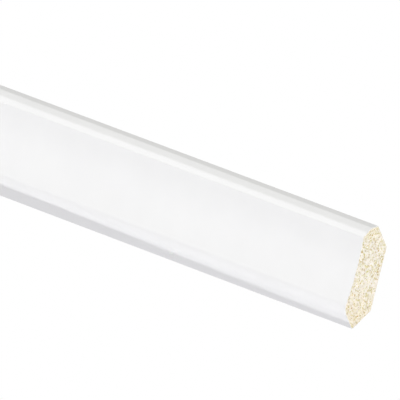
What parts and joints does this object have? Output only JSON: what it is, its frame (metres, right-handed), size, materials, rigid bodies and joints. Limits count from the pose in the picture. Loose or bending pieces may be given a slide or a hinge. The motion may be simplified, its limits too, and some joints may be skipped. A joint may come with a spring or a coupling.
{
  "type": "inside corner moulding",
  "caption": "Straight length of small sprung moulding for the inside corner of wall and ceiling: upright fascia, shallow hollow and round underside, white foil over a fibreboard core.",
  "frame": {"origin": "middle of the foil strip that touches the wall, at mid-length", "axes": "+X along the moulding, +Y out of the wall contact face into the wall, +Z out of the ceiling contact face into the ceiling"},
  "size_m": [0.22, 0.0299, 0.0288],
  "materials": {
    "fibreboard": "sawn and milled, pale cream with fine tan and yellow chips",
    "white_foil": "smooth satin white"
  },
  "bodies": {
    "root": {"fibreboard_core": "fibreboard", "white_foil_wrap": "white_foil"}
  },
  "joints": []
}
